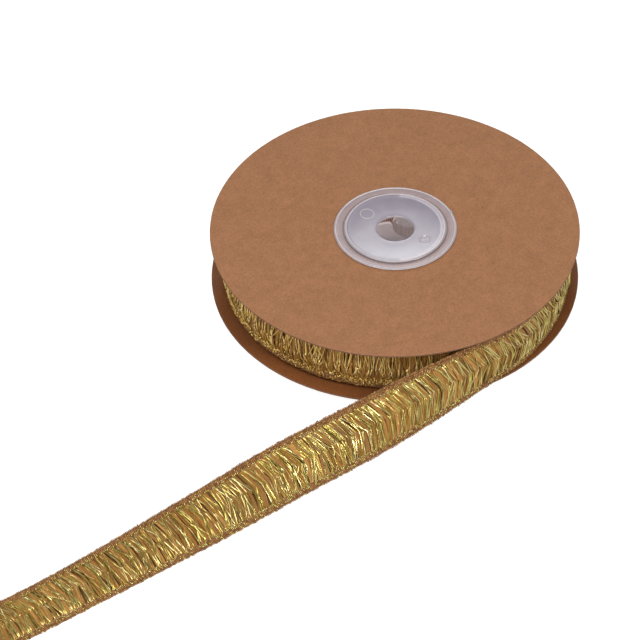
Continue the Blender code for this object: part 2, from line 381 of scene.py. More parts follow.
def wound_leans(chance, course, at, spread):
    """On the winding the floats lie straight across above, and in small chevrons below."""
    upper = 0.65 * MM * drift(chance, course, 2.8 * MM)(at)
    lower = 1.25 * MM * drift(chance, course, 2.2 * MM)(at)
    upper = upper + chance.normal(0, spread, len(at))
    return upper, lower + chance.normal(0, 1.6 * spread, len(at))


def ribbon_part(course, chance, leans_of, pitch, narrowest, over_share, rise, dip):
    """Flat rayon ribbons, side by side under the metallic strips, a share of them over those."""
    at = bunched(chance, course, pitch, 0.25 * MM, 2.2)
    leans = leans_of(chance, course, at, 0.22 * MM)
    count = len(at)
    over = chance.uniform(0, 1, count) < over_share + 0.2 * drift(chance, course, 4.0 * MM)(at)
    high, low = chance.uniform(0.22, 0.38, count), chance.uniform(0.0, 0.14, count)
    levels = np.where(over, high, low) * MM
    rises = chance.uniform(0.7, 1.05, count) * rise
    width = chance.uniform(narrowest, RIBBON_WIDEST, count)
    kind = (RIBBON, width, RIBBON_DEPTH, chance.uniform(0.05, 0.22, count), RIBBON_RINGS)
    return float_part(course, chance, at, leans, (levels, rises, dip), *kind)


def strip_parts(course, chance, leans_of, pitch, rise):
    """Slit metallic strips, narrower, twisted and drawn into bunches: some from selvedge to
    selvedge, the rest from one selvedge to the middle."""
    parts = []
    for half, share, rings in STRIP_KINDS:
        at = bunched(chance, course, pitch / share, 0.50 * MM, 0.9 * half)
        leans = leans_of(chance, course, at, 0.85 * MM)
        count = len(at)
        stray = chance.uniform(0, 1, count) < STRAY_SHARE
        leans = [lean + np.where(stray, chance.normal(0, 1.3 * MM, count), 0) for lean in leans]
        levels = chance.uniform(0.12, 0.55, count) * MM + np.where(stray, 0.12 * MM, 0)
        rises = chance.uniform(0.75, 1.45, count) * rise
        width = chance.uniform(STRIP_NARROWEST, STRIP_WIDEST, count) * MM
        twist = chance.uniform(0.05, 0.5, count)
        kind = (STRIP, width, STRIP_DEPTH, twist, rings, half, STRIP_ROLL)
        parts.append(float_part(course, chance, at, leans, (levels, rises, STRIP_DIP), *kind))
    return parts


def back_part(course, chance, pitch, width):
    """Floats of the back, lying close behind the ground."""
    at = bunched(chance, course, pitch, 0.3 * MM, 0.0)
    leans = end_leans(chance, course, at, 0.2 * MM)
    count = len(at)
    build = (chance.uniform(-0.30, -0.22, count) * MM, np.zeros(count), 0.0)
    widths = chance.uniform(0.85, 1.15, count) * width
    kind = (STRIP, widths, BACK_DEPTH, chance.uniform(0.0, 0.10, count), BACK_RINGS)
    return float_part(course, chance, at, leans, build, *kind)


STITCH_PITCH = 0.46 * MM
STITCH_LENGTH, STITCH_WIDTH, STITCH_DEPTH = 0.56 * MM, 0.38 * MM, 0.60 * MM
STITCH_TAPER = np.array((0.5, 1.0, 1.0, 0.5))[None]  # share of the width at each ring of a stitch
SELVEDGE_ROWS = (0.30 * MM, 0.76 * MM, 1.22 * MM, 1.68 * MM)  # in from the edge, to a row's middle
LOOSE_ROWS = (2.15 * MM, 2.65 * MM, 3.2 * MM)  # loops of metallic thread over the wound lower edge
# Columns: spread of a stitch's place and of its slant, and how proud a metallic one stands.
PACKED_STITCH = (0.035 * MM, 0.04 * MM, 0.12 * MM)
LOOSE_STITCH = (0.2 * MM, 0.16 * MM, 0.22 * MM)
# Share of metallic stitches in each row: of the lower selvedge, then of the upper one.
GOLD_SHARE = ((0.12, 0.28, 0.38, 0.50, 0.42, 0.28, 0.16), (0.01, 0.06, 0.16, 0.46))


def stitch_row(course, chance, row, inset, upper, foot):
    """One row of a selvedge: the rings of its stitches, their measure and which are metallic."""
    spread, lean, proud = PACKED_STITCH if row < len(SELVEDGE_ROWS) else LOOSE_STITCH
    first, last = course["at"][0], course["at"][-1]
    count = int((last - first) / STITCH_PITCH)
    at = first + (np.arange(count) + 0.5 + 0.12 * row) * STITCH_PITCH
    at = np.minimum(at + chance.normal(0, 0.03 * MM, count), last - 0.2 * MM)
    middle = inset + chance.normal(0, spread, count)
    if row == 0:  # the outermost loops stand out unevenly past the edge
        steps = drift(chance, course, 0.75 * MM)(at)
        middle = middle - (0.12 + 0.16 * steps) * MM - chance.uniform(0.0, 0.1, count) * MM
    if not upper:
        middle = middle + foot
    slant = 0.08 * MM + chance.normal(0, lean, count)
    t = np.linspace(0.0, 1.0, STITCH_TAPER.size)[None]
    over = middle[:, None] + STITCH_LENGTH * (t - 0.5)
    if upper:
        over = TRIM_WIDTH - over
    along = at[:, None] + slant[:, None] * (t - 0.5) * 2
    bow = 0.05 * MM * np.sin(math.pi * t) + chance.uniform(-0.03, 0.03, (count, 1)) * MM
    centre = place(course, along, over, SELVEDGE_TOP / 2 + bow)
    front = read(course, "front", along)
    wide = STITCH_WIDTH * STITCH_TAPER * chance.uniform(0.85, 1.1, (count, 1))
    deep = STITCH_DEPTH * STITCH_TAPER * chance.uniform(0.9, 1.05, (count, 1))
    gold = chance.uniform(0, 1, count) < GOLD_SHARE[upper][row]
    roll = np.where(gold, chance.normal(0, 0.4, count), 0.0)[:, None]
    flatter = np.where(gold, 0.95 if foot else 0.55, 1.0)[:, None]
    size = beside(wide, deep * flatter)
    centre = centre + front * np.where(gold, proud, 0.0)[:, None, None]
    rings = sweep(centre, front, YARN, np.broadcast_to(roll, wide.shape), size)
    return rings, measure_of(centre, YARN, size), gold


def stitch_parts(course, chance, foot=0.0):
    """Both selvedges as rows of small slanting stitches: the spun ones and the metallic ones.
    foot is how far the lower edge is drawn up from what the trim stands on."""
    spun, metallic = [], []
    for upper in (False, True):
        rows = SELVEDGE_ROWS + (() if upper or foot == 0 else LOOSE_ROWS)
        for row, inset in enumerate(rows):
            rings, measure, gold = stitch_row(course, chance, row, inset, upper, foot)
            if row < len(SELVEDGE_ROWS):
                spun.append(part_from_rings(rings[~gold], measure[~gold]))
            metallic.append(part_from_rings(rings[gold], measure[gold]))
    return spun, metallic


RIB_SPACING = 0.26 * MM  # from a crest of the ground's ribs to the next hollow
RIB_CREST, RIB_HOLLOW = 0.05 * MM, -0.01 * MM
GROUND_ACROSS = np.array((0.12, 1.9, 5.0, 7.6, 10.2, 13.3, 15.08)) * MM  # from the lower edge


def ground_part(course, chance, foot=0.0):
    """The ground that the floats lie on: a thin ribbed band of packed weft."""
    count = round((course["at"][-1] - course["at"][0]) / RIB_SPACING) + 1
    at = np.linspace(course["at"][0], course["at"][-1], count)
    rib = np.where(np.arange(count) % 2, RIB_CREST, RIB_HOLLOW) * chance.uniform(0.6, 1.0, count)
    over = GROUND_ACROSS.copy()
    over[0] += foot
    front = place(course, at[:, None], over[None], (GROUND_FRONT + rib)[:, None])
    back = place(course, at[:, None], over[::-1][None], (GROUND_BACK - rib)[:, None])
    section = np.concatenate((front, back), axis=1)[None]
    across = np.concatenate((over, over[::-1]))
    measure = beside(at[:, None], across)[None] / MM
    points, faces, measure, index = part_from_rings(section, measure)
    return points, [face[::-1] for face in faces], measure, index


# Materials. Their patterns lie in millimetres: noise of scale s has blotches about 1 / s mm wide.

MIX_SHARE, MIX_A, MIX_B, MIX_RESULT = 0, 6, 7, 2  # the sockets of a Mix node that mixes colours


def colour(code):
    """An sRGB hex code as linear colour."""
    channels = [int(code[i : i + 2], 16) / 255 for i in (1, 3, 5)]
    return (*(c / 12.92 if c <= 0.04045 else ((c + 0.055) / 1.055) ** 2.4 for c in channels), 1.0)


def put(tree, kind, values=None, links=None, stops=(), **settings):
    """Adds a node with its settings, values, links and the stops of a ramp. Gives its outputs."""
    made = tree.nodes.new("ShaderNode" + kind)
    for name, value in settings.items():
        setattr(made, name, value)
    for name, value in (values or {}).items():
        made.inputs[name].default_value = value
    for name, source in (links or {}).items():
        tree.links.new(source, made.inputs[name])
    for number, (share, code) in enumerate(stops):
        elements = made.color_ramp.elements
        element = elements[number] if number < len(elements) else elements.new(share)
        element.position, element.color = share, colour(code)
    return made.outputs


def new_material(name, values):
    """A material with those values on its shader's own sockets, and its node tree."""
    material = bpy.data.materials.new(name)
    material.use_nodes = True
    for key, value in values.items():
        material.node_tree.nodes["Principled BSDF"].inputs[key].default_value = value
    return material, material.node_tree


def in_millimetres(tree, across, along, third=1.0):
    """Object coordinates in millimetres, stretched by the three factors."""
    scale = {"Scale": (1000 * across, 1000 * along, 1000 * third)}
    return put(tree, "Mapping", scale, {"Vector": put(tree, "TexCoord")["Object"]})["Vector"]


def on_the_weave(tree, along, across):
    """The weave_mm map, stretched by the two factors."""
    weave = put(tree, "UVMap", uv_map="weave_mm")["UV"]
    return put(tree, "Mapping", {"Scale": (along, across, 1.0)}, {"Vector": weave})["Vector"]


def strand_tones(tree, *tones):
    """A colour of its own for each strand, between the first tone and the last."""
    own = put(tree, "NewGeometry")["Random Per Island"]
    stops = tuple(zip(np.linspace(0.0, 1.0, len(tones)), tones))
    return put(tree, "ValToRGB", None, {"Fac": own}, stops)["Color"]


def surfaced(material, base, relief, strength, depth, grain=None):
    """Gives a material its base colour, any grain of greys over it, and bumps of that depth."""
    tree = material.node_tree
    shader = tree.nodes["Principled BSDF"]
    if grain:
        both = {MIX_A: base, MIX_B: grain}
        overlay = {"data_type": "RGBA", "blend_type": "OVERLAY"}
        base = put(tree, "Mix", {MIX_SHARE: 0.6}, both, **overlay)[MIX_RESULT]
    bump = put(tree, "Bump", {"Strength": strength, "Distance": depth}, {"Height": relief})
    tree.links.new(base, shader.inputs["Base Color"])
    tree.links.new(bump["Normal"], shader.inputs["Normal"])
    return material


def kraft_liner(name, dark, light):
    """Brown kraft liner on board, calendered: a low sheen over soft clouds and short fibres."""
    material, tree = new_material(name, {"Roughness": 0.66, "IOR": 1.47})
    # Clouds of pulp 3 mm wide. Real fibres are 0.03 mm thick: they are drawn at 0.45 mm, to show.
    pulp = {"Scale": 0.30, "Detail": 6.0, "Roughness": 0.7}
    clouds = put(tree, "TexNoise", pulp, {"Vector": in_millimetres(tree, 1.0, 1.0)})["Fac"]
    short = {"Scale": 2.2, "Detail": 3.0, "Roughness": 0.7, "Distortion": 0.8}
    fibres = put(tree, "TexNoise", short, {"Vector": in_millimetres(tree, 1.0, 1.2)})["Fac"]
    base = put(tree, "ValToRGB", None, {"Fac": clouds}, ((0.34, dark), (0.66, light)))["Color"]
    greys = ((0.30, "#8C8C8C"), (0.70, "#E6E6E6"))
    grain = put(tree, "ValToRGB", None, {"Fac": fibres}, greys)["Color"]
    return surfaced(material, base, fibres, 0.25, 0.04 * MM, grain)


def kraft_edge():
    """The die-cut edge of the board: darker, with its plies showing as fine lines."""
    material, tree = new_material("kraft_board_die_cut_edge", {"Roughness": 0.9, "IOR": 1.47})
    # Each ply is about 0.1 mm thick.
    layers = {"Vector": in_millimetres(tree, 0.8, 0.8, 9.0)}
    plies = put(tree, "TexNoise", {"Scale": 1.0, "Detail": 2.0}, layers)["Fac"]
    stops = ((0.35, "#583620"), (0.65, "#765136"))
    base = put(tree, "ValToRGB", None, {"Fac": plies}, stops)["Color"]
    tree.links.new(base, tree.nodes["Principled BSDF"].inputs["Base Color"])
    return material


def moulded_plastic(name, alpha, dark, light, glow):
    """Natural polypropylene, injection moulded: milky, softly glossy, a little see-through.
    The glow is painted light: emission standing in for the light that the milky wall passes on from
    its other side."""
    values = {
        "Roughness": 0.30,
        "IOR": 1.49,
        "Alpha": alpha,
        "Coat Weight": 1.0,
        "Coat Roughness": 0.30,
        "Emission Color": colour("#D8CCCC"),
        "Emission Strength": glow,
    }
    material, tree = new_material("polypropylene_natural_" + name, values)
    # Marks of the melt's flow: haze about 3 mm wide, and waves in the face about 1 mm wide.
    where = {"Vector": in_millimetres(tree, 1, 1)}
    haze = put(tree, "TexNoise", {"Scale": 0.35, "Detail": 3.0}, where)["Fac"]
    base = put(tree, "ValToRGB", None, {"Fac": haze}, ((0.3, dark), (0.7, light)))["Color"]
    flow = put(tree, "TexNoise", {"Scale": 0.9, "Detail": 3.0}, where)["Fac"]
    return surfaced(material, base, flow, 0.12, 0.06 * MM)


def rayon_ribbon(name, *tones):
    """Rayon ribbon yarn, flat filament: warm brown with a satin streak along its filaments."""
    values = {"Roughness": 0.5, "IOR": 1.52, "Specular IOR Level": 0.12}
    material, tree = new_material(name, values)
    # Real filaments are 0.02 mm thick: they are drawn as streaks 0.1 mm wide, to show.
    strand = {"Vector": on_the_weave(tree, 0.35, 9.0)}
    filaments = put(tree, "TexNoise", {"Scale": 1.0, "Detail": 3.0}, strand)["Fac"]
    greys = ((0.3, "#828282"), (0.7, "#BEBEBE"))
    streak = put(tree, "ValToRGB", None, {"Fac": filaments}, greys)["Color"]
    base = strand_tones(tree, *tones)
    return surfaced(material, base, filaments, 0.5, 0.04 * MM, streak)


def slit_film(name, *tones):
    """Metallised polyester film, lacquered gold and slit into strips: bright as a mirror where it
    faces a lamp, and gold elsewhere, because its crinkles scatter a quarter of the light."""
    values = {
        "Metallic": 0.75,
        "Roughness": 0.30,
        "Specular Tint": colour("#E8D8A0"),
        "Coat Weight": 0.45,
        "Coat Roughness": 0.10,
        "Coat IOR": 1.6,
    }
    material, tree = new_material(name, values)
    # Crinkles about 0.6 mm long, as film takes when it is knitted in.
    strip = {"Vector": on_the_weave(tree, 1.0, 0.6)}
    crinkle = put(tree, "TexNoise", {"Scale": 1.6, "Detail": 2.0}, strip)["Fac"]
    return surfaced(material, strand_tones(tree, *tones), crinkle, 0.5, 0.07 * MM)


def spun_yarn(name, dark, light):
    """Spun yarn, packed: matt brown with the twist showing as fine slanting lines."""
    values = {"Roughness": 0.8, "IOR": 1.5, "Specular IOR Level": 0.25}
    material, tree = new_material(name, values)
    # The real ply lies 0.15 mm apart. It is drawn 0.5 mm apart so that it shows.
    ply = {"Scale": 0.65, "Distortion": 2.0, "Detail": 1.0}
    strand = {"Vector": on_the_weave(tree, 1.0, 1.6)}
    twist = put(tree, "TexWave", ply, strand, bands_direction="DIAGONAL")["Fac"]
    greys = ((0.2, "#808080"), (0.8, "#ACACAC"))
    lines = put(tree, "ValToRGB", None, {"Fac": twist}, greys)["Color"]
    return surfaced(material, strand_tones(tree, dark, light), twist, 0.4, 0.05 * MM, lines)


def packed_weft():
    """The trim's ground, packed brown weft between the floats: ribbed, its own brown painted darker
    in the middle as the shade between the floats, and lighter under the selvedges."""
    values = {"Roughness": 0.7, "IOR": 1.5, "Specular IOR Level": 0.2}
    material, tree = new_material("rayon_ground_packed", values)
    # Picks of weft about 0.4 mm apart, running across the trim.
    picks = {"Vector": on_the_weave(tree, 2.4, 0.15)}
    ribs = put(tree, "TexNoise", {"Scale": 1.0, "Detail": 2.0}, picks)["Fac"]
    # The middle's dark tones are painted shade between the floats.
    middle, edge = (
        put(tree, "ValToRGB", None, {"Fac": ribs}, ((0.3, dark), (0.7, light)))["Color"]
        for dark, light in (("#3A2208", "#603A12"), ("#5C3A1C", "#7C542E"))
    )
    weave = put(tree, "UVMap", uv_map="weave_mm")["UV"]
    over = put(tree, "SeparateXYZ", None, {"Vector": weave})["Y"]
    across = put(tree, "MapRange", {"From Max": TRIM_WIDTH / MM}, {"Value": over})["Result"]
    stops = ((0.10, "#FFFFFF"), (0.13, "#000000"), (0.87, "#000000"), (0.90, "#FFFFFF"))
    share = put(tree, "ValToRGB", None, {"Fac": across}, stops)["Color"]
    links = {MIX_SHARE: share, MIX_A: middle, MIX_B: edge}
    base = put(tree, "Mix", None, links, data_type="RGBA")[MIX_RESULT]
    return surfaced(material, base, ribs, 0.5, 0.08 * MM)


def paper_sweep():
    """White paper background, matt, lit up so that no shade or horizon shows on it."""
    values = {
        "Base Color": colour("#8E8E8E"),
        "Roughness": 0.95,
        "Specular IOR Level": 0.1,
        "Emission Color": colour("#FFFFFF"),
        "Emission Strength": 0.88,
    }
    return new_material("paper_sweep_matt", values)[0]


# The card discs

DISC_STEPS = 288
DISC_BORE = 13.8 * MM
DISC_EDGE = 0.07 * MM  # of the rim's worn corners
DISC_RIPPLE = 0.00025  # how uneven the die-cut rim is, as a share of its radius


def about(centre, radii, turn, heights):
    """One body's rings of points at those radii and turns about an axis."""
    cos, sin = np.cos(turn)[:, None], np.sin(turn)[:, None]
    return beside(centre[0] + radii * cos, centre[1] + radii * sin, heights)[None]


def turned(profile, steps, centre=REEL, ripple=0.0):
    """A closed ring with that profile of (radius, height), its rim uneven by the ripple."""
    chance = np.random.default_rng(5)
    turn = np.linspace(0, 2 * math.pi, steps, endpoint=False)
    radius, height = np.array(profile).T[:, None]
    at_rim = radius > radius.max() * 0.995
    radius = radius * (1 + chance.normal(0, ripple, (steps, 1)) * at_rim)
    measure = beside(turn[:, None] * radius, radius)[None] / MM
    return part_from_rings(about(centre, radius, turn, height), measure, True)


def build_disc(name, level, node, materials):
    """A die-cut kraft disc: flat faces with a worn corner, and the cut edge in another finish."""
    top, worn = level + CARD_THICKNESS, CARD_RADIUS - DISC_EDGE
    flat = CARD_RADIUS - 8 * MM  # a ring there keeps the shading of the rim off the face
    profile = (
        (DISC_BORE, level), (flat, level), (worn, level), (CARD_RADIUS, level + DISC_EDGE),
        (CARD_RADIUS, top - DISC_EDGE), (worn, top), (flat, top), (DISC_BORE, top),
    )
    part = turned(profile, DISC_STEPS, ripple=DISC_RIPPLE)
    piece = add_piece(name, [part], materials, "kraft_card", True)
    middle, half = level + CARD_THICKNESS / 2, CARD_THICKNESS / 2 - DISC_EDGE
    for polygon in piece.data.polygons:
        polygon.material_index = int(abs(polygon.center.z - middle) < half)
    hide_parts(node)


# The moulded hub

HOLE_RADIUS = 5.05 * MM
TUBE_INNER, TUBE_OUTER = 12.4 * MM, 13.5 * MM
LIP_FOOT = 13.0 * MM  # where the dished plate ends and the lip rises
GROOVE_FOOT = 13.92 * MM  # where the lip drops into the groove round it
FLANGE_FOOT = 14.3 * MM  # where the groove ends and the flange begins
FLANGE_BEAD = 16.15 * MM  # where the flange thickens to its rim
FLANGE, LIP = 0.5 * MM, 0.5 * MM
HUB_STEPS = 180
MAIN_HEADING = -34.8  # the way the upper half's tongue faces
# The side of each tongue. Columns: height over the tongue's end in mm, half its turn in degrees.
UPPER_TONGUE = (
    (0.0, 76.0), (0.5, 83.0), (1.6, 88.0), (3.4, 91.5),
    (5.5, 92.5), (7.0, 90.3), (8.6, 86.0), (15.0, 84.0),
)
LOWER_TONGUE = (
    (0.0, 84.0), (1.0, 87.2), (2.4, 88.0), (4.2, 91.4), (5.3, 96.4), (5.8, 103.0), (8.0, 104.0)
)
# How far the flange, the lip and the dish stand up. The upper half is pressed down into its card.
PRESSED = (0.14 * MM, 0.40 * MM, 0.36 * MM)
PLAIN_HALF = (FLANGE, LIP, 0.4 * MM)
# Moulded circles on each plate, as the camera sees them: mm to the right, mm away, radius and bead.
CIRCLES = ((-7.45, 5.3, 1.85, 0.22), (8.15, -4.86, 1.5, 0.24))
# The hub's one plastic, by how thick its wall is and what shows through it, with light and shade
# painted in: the tongues are painted lighter and glow, as painted light for what the milky walls
# pass on; the edge and ridge finishes are lighter and glow, as painted highlights; the groove is
# painted darker, as painted shade. Columns: name, how solid it looks, darker and lighter colour,
# glow.
HUB_FINISHES = (
    ("moulded", 0.7, "#7B7482", "#847D89", 0.0),
    ("thin_flange", 0.22, "#AEA8B4", "#B8B2BE", 0.0),
    ("tongue", 0.5, "#D8D0D2", "#E4DDE0", 0.27),
    ("thin_tongue", 0.3, "#BCB4B2", "#C8C0BE", 0.19),
    ("edge", 0.9, "#C8C0C2", "#D2CACC", 0.6),
    ("ridge", 0.75, "#8E868B", "#989095", 0.12),
    ("groove", 0.45, "#6A605E", "#746A68", 0.0),
)
PLAIN, THIN_FLANGE, TONGUE, THIN_TONGUE, EDGE, RIDGE, GROOVE = range(len(HUB_FINISHES))
# Above these heights a tongue's sides take the edge finish, a painted highlight that glows.
CUT_SIDES = {TONGUE: 8.2 * MM, THIN_TONGUE: 9 * MM}  # above which a tongue's sides show as edges
# Nubs on the upper half. Columns: radius, degrees round from the front, height, size in mm, finish.
NUBS = (
    (16.5, 21.7, 0.25, (0.5, 1.3, 0.5), PLAIN),
    (9.0, -27.0, 0.13, (1.3, 2.0, 0.3), RIDGE),
    (13.6, 171.9, 0.38, (0.6, 0.6, 0.4), PLAIN),
)


def dish_height(radius, flange, rise):
    """How high the dished plate's face stands at a radius, over the flange's inner face."""
    share = (radius - HOLE_RADIUS) / (7.2 * MM)
    return flange - 0.1 * MM + rise * share**2


def plate_profile(flange, lip, rise):
    """The dished plate, the low lip round it, the flange and the collar, as (radius, height)."""
    dish = [(HOLE_RADIUS + 0.08 * MM, flange - 0.12 * MM)]
    for share in np.linspace(0, 1, 9):
        radius = HOLE_RADIUS + (0.35 + 6.85 * share) * MM
        dish.append((radius, dish_height(radius, flange, rise)))
    rim = (  # radius in mm, height
        (12.65, flange + rise - 0.07 * MM), (12.85, flange + rise - 0.07 * MM),
        (13.10, flange + 0.90 * lip), (13.45, flange + lip),
        (13.72, flange + 0.85 * lip), (13.90, flange + 0.4 * lip),
        (13.98, flange - 0.10 * MM), (14.20, flange - 0.10 * MM),
        (14.30, flange), (15.50, flange), (16.00, flange + 0.05 * MM),
        (16.35, flange + 0.05 * MM), (16.56, flange), (16.66, flange - 0.09 * MM),
        (16.66, 0.01 * MM), (16.60, 0.0),
    )
    rim = [(radius * MM, height) for radius, height in rim]
    collar = [
        (TUBE_OUTER, 0.0), (TUBE_OUTER, -2.0 * MM),
        (TUBE_INNER, -2.0 * MM), (TUBE_INNER, -0.05 * MM),
    ]
    under = [(radius, height - 0.8 * MM) for radius, height in reversed(dish[1:])]
    under[0] = (12.3 * MM, under[0][1])
    hole = [(HOLE_RADIUS, flange - 0.76 * MM), (HOLE_RADIUS, flange - 0.2 * MM)]
    return dish + rim + collar + under + hole


def plate_part(level, up, build, centre):
    """A half's plate, flange and collar, its outside facing up (up is 1) or down (up is -1)."""
    profile = [(radius, level + up * height) for radius, height in plate_profile(*build)]
    return turned(profile, HUB_STEPS, centre)


def tongue_part(table, end, root, heading, finish):
    """A curved tongue of the hub's tube, from its rounded end to its root in the collar."""
    rows, columns = 26, 40
    heights = np.linspace(0, 1, rows) ** 1.3 * abs(root - end)
    direction = 1 if root > end else -1
    rings = []
    for height in heights:
        half = smooth_at(table, min(height / MM, table[-1][0]), 1)
        turn = heading + np.linspace(-half, half, columns)
        rounding = 0.12 * MM * max(0.0, 1 - height / (0.3 * MM))
        z = end + direction * height
        ring = [around(TUBE_INNER + rounding, degrees, z) for degrees in turn]
        ring += [around(TUBE_OUTER - rounding, degrees, z) for degrees in turn[::-1]]
        rings.append(ring)
    rings = np.array(rings)[None]
    return part_from_rings(rings, rings[..., [2, 0]] / MM, index=finish)


def catch_part(top, heading):
    """The catch on the upper half's tongue: a thicker patch inside it with a rounded lower edge."""
    turn = np.linspace(-13.0, 13.0, 27)
    low = (8.17 + 0.007 * turn**2) * MM
    radii = np.array((12.0, 12.42, 12.42, 12.0)) * MM
    levels = beside(low + 0.1 * MM, low, top, top)
    rings = about(REEL, radii, np.radians(heading + turn), levels)
    return part_from_rings(rings, rings[..., :2] / MM, index=THIN_TONGUE)


def circle_part(level, up, build, x, y, ring_radius, bead):
    """A moulded circle on the dished plate: a fine raised ring that follows its slope."""
    middle = from_the_front(x, y)
    turn = np.linspace(0, 2 * math.pi, 48, endpoint=False)[:, None]
    section = np.linspace(0, 2 * math.pi, 8, endpoint=False)[None]
    flange, _, rise = build
    reach = ring_radius + bead * np.cos(section)
    px, py = middle[0] + reach * np.cos(turn), middle[1] + reach * np.sin(turn)
    height = dish_height(np.hypot(px, py), flange, rise) + 0.4 * bead * np.sin(section)
    rings = beside(REEL[0] + px, REEL[1] + py, level + up * height)[None]
    # The ring takes the ridge finish, lighter and glowing as a painted highlight.
    return part_from_rings(rings, rings[..., :2] / MM, True, RIDGE)


def nub_part(radius, heading, level, size, finish):
    """A small rounded nub of plastic, as the gate leaves."""
    mesh = bmesh.new()
    bmesh.ops.create_icosphere(mesh, subdivisions=3, radius=0.5)
    turn = Matrix.Rotation(math.radians(heading), 4, "Z") @ Matrix.Diagonal((*size, 1.0))
    middle = Vector(around(radius, heading, level))
    points = np.array([(turn @ vertex.co) + middle for vertex in mesh.verts])
    faces = [[vertex.index for vertex in face.verts] for face in mesh.faces]
    mesh.free()
    return points, faces, points[:, :2] / MM, finish


def from_the_front(x, y):
    """Turns a place as the camera sees it, x to the right and y away, into the frame."""
    turn = math.radians(MAIN_HEADING)
    return x * math.cos(turn) - y * math.sin(turn), x * math.sin(turn) + y * math.cos(turn)


def hub_finish(polygon, centre):
    """The finish that a face of the hub shows, by where on the moulding it lies."""
    out = Vector((polygon.center.x - centre[0], polygon.center.y - centre[1], 0.0))
    radius, finish = out.length, polygon.material_index
    if finish == PLAIN:
        if FLANGE_FOOT < radius < FLANGE_BEAD:
            return THIN_FLANGE
        # The groove takes the darker groove finish: painted shade.
        if GROOVE_FOOT < radius < FLANGE_FOOT:
            return GROOVE
        # Faces out past the lip's foot and round the hole's edge take the ridge finish: a painted
        # highlight.
        if radius > LIP_FOOT or radius < HOLE_RADIUS + 0.2 * MM:
            return RIDGE
    # High on a tongue's sides, the edge finish: a painted highlight.
    side = abs(polygon.normal.dot(out.normalized())) < 0.5
    if side and finish in CUT_SIDES and polygon.center.z > CUT_SIDES[finish]:
        return EDGE
    return finish


def build_hub():
    """Both halves of the hub, with their tongues, moulded circles, catch and nubs."""
    plastics = [moulded_plastic(*finish) for finish in HUB_FINISHES]
    upper_level = HUB_TOP - FLANGE - LIP
    lower_level = HUB_BOTTOM + FLANGE + LIP
    moved = REEL + np.array((*from_the_front(0.17 * MM, -0.42 * MM), 0.0))
    circles = [[length * MM for length in circle] for circle in CIRCLES]
    upper = [
        plate_part(upper_level, 1, PRESSED, moved),
        tongue_part(UPPER_TONGUE, UPPER_TONGUE_END, upper_level, MAIN_HEADING, THIN_TONGUE),
        catch_part(13.0 * MM, MAIN_HEADING + 75.0),
    ]
    upper += [circle_part(upper_level, 1, PRESSED, *circle) for circle in circles]
    for radius, heading, height, size, finish in NUBS:
        level = upper_level + height * MM
        size = [length * MM for length in size]
        upper.append(nub_part(radius * MM, MAIN_HEADING + heading, level, size, finish))
    lower = [
        plate_part(lower_level, -1, PLAIN_HALF, REEL),
        tongue_part(LOWER_TONGUE, LOWER_TONGUE_TOP, lower_level, MAIN_HEADING + 180, TONGUE),
    ]
    lower += [circle_part(lower_level, -1, PLAIN_HALF, *circle) for circle in circles]
    for name, parts, node, centre in (
        ("hub_half_upper", upper, "hub_upper", moved),
        ("hub_half_lower", lower, "hub_lower", REEL),
    ):
        piece = add_piece(name, parts, plastics, "hub_plastic", True, 50)
        for polygon in piece.data.polygons:
            polygon.material_index = hub_finish(polygon, centre)
        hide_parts(node)


# The winding under its outer turn

INNER_RADIUS = 13.8 * MM
TURN_PITCH = 0.72 * MM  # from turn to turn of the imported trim
TURN_GROOVE = 0.25 * MM  # how deep the groove between two turns is
UNDER_OUTER = 0.05 * MM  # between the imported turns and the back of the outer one
RIB_PITCH, RIB_DEPTH = 0.52 * MM, 0.16 * MM  # of the innermost turn's back
# The innermost turn across. Columns: mm up from its lower edge, mm that it stands proud there.
INNER_ACROSS = (
    (0.0, 0.05), (1.8, 0.05), (2.0, -0.025), (7.6, 0.0),
    (13.2, -0.025), (13.4, 0.05), (15.2, 0.05),
)


def turns_part():
    """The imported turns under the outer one, their edges showing as grooves above and below."""
    steps, clear = 150, 0.1 * MM
    low, high = WINDING_LEVEL + clear, WINDING_LEVEL + TRIM_WIDTH - clear
    turn = np.linspace(0, 2 * math.pi, steps, endpoint=False)
    share = ((np.degrees(turn) - LEAVE_DEG - LOOSE_DEG) % 360) / 360
    outer = WINDING_RADIUS - TURN_STEP * share - TRIM_DEPTH + WOUND_RISE - UNDER_OUTER
    count = int((WINDING_RADIUS - 2 * MM - INNER_RADIUS) / TURN_PITCH)
    inner = INNER_RADIUS + 0.35 * MM
    part = np.linspace(0, 1, 2 * count + 1)
    radius = inner + (outer[:, None] - inner) * part[None]
    dip = np.where(np.arange(2 * count + 1) % 2, 0.0, TURN_GROOVE)
    radii = np.concatenate((radius, radius[:, ::-1]), axis=1)
    heights = np.concatenate((high - dip, low + dip))
    # Mapped to the middle of the width, the turns take the ground's dark tones: painted shade in
    # the gap under the winding.
    measure = beside(turn[:, None] * radii, TRIM_WIDTH / 2)[None] / MM
    return part_from_rings(about(REEL, radii, turn, heights), measure, True)


def inner_part():
    """The back of the innermost turn, ribbed, as it shows through the hub."""
    ribs = 2 * round(2 * math.pi * INNER_RADIUS / RIB_PITCH)
    turn = np.linspace(0, 2 * math.pi, ribs, endpoint=False)
    crest = INNER_RADIUS + np.where(np.arange(ribs) % 2, 0.0, RIB_DEPTH)[:, None]
    levels, proud = np.array(INNER_ACROSS).T * MM
    face = crest - proud
    back = np.full((ribs, 1), INNER_RADIUS + 0.4 * MM)
    radii = np.concatenate((face, back, back), axis=1)
    levels = WINDING_LEVEL + np.concatenate((levels, levels[-1:], levels[:1]))
    measure = beside(turn[:, None] * INNER_RADIUS, levels)[None] / MM
    return part_from_rings(about(REEL, radii, turn, levels), measure, True)


# Camera, light and floor

